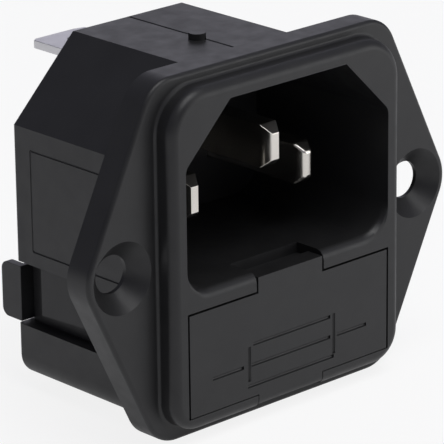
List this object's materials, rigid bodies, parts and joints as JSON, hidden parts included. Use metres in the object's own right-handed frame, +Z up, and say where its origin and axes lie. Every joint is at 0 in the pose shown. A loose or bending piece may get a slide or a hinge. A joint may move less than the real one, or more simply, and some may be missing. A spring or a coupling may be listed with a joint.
{
  "type": "c14 panel inlet socket",
  "caption": "Panel-mounted power inlet: a recessed socket with line, neutral and earth pins above a slide-out fuse drawer, push-on tabs behind, and a countersunk screw ear at each side.",
  "frame": {"origin": "on the back face of the flange, midway between the two screws", "axes": "+X to the right seen from the front, +Y from the panel into the equipment, +Z up with the earth pin above the other two"},
  "size_m": [0.0438, 0.0317, 0.0336],
  "materials": {
    "black_plastic": "satin black moulded thermoplastic",
    "nickel_plating": "bright nickel plating on brass",
    "tinned_brass": "dull tin plating on brass strip",
    "spring_bronze": "bare phosphor bronze strip",
    "clear_glass": "clear glass tube",
    "fuse_cap_plating": "bright nickel plating on brass",
    "fuse_wire_metal": "tinned wire"
  },
  "bodies": {
    "socket": {"housing": "black_plastic", "rear_cover": "black_plastic", "line_pin": "nickel_plating", "neutral_pin": "nickel_plating", "earth_pin": "nickel_plating", "line_link": "tinned_brass", "line_terminal": "tinned_brass", "neutral_terminal": "tinned_brass", "earth_terminal": "tinned_brass", "fuse_spring_right": "spring_bronze", "fuse_spring_left": "spring_bronze"},
    "drawer": {"fuse_drawer": "black_plastic", "fuse_glass": "clear_glass", "fuse_cap_right": "fuse_cap_plating", "fuse_cap_left": "fuse_cap_plating", "fuse_wire": "fuse_wire_metal", "spare_fuse_glass": "clear_glass", "spare_fuse_cap_right": "fuse_cap_plating", "spare_fuse_cap_left": "fuse_cap_plating", "spare_fuse_wire": "fuse_wire_metal"}
  },
  "joints": [
    {"name": "drawer_slide", "type": "slide", "parent": "socket", "child": "drawer", "axis": [0, -1, 0], "range_m": [0, 0.015]}
  ]
}
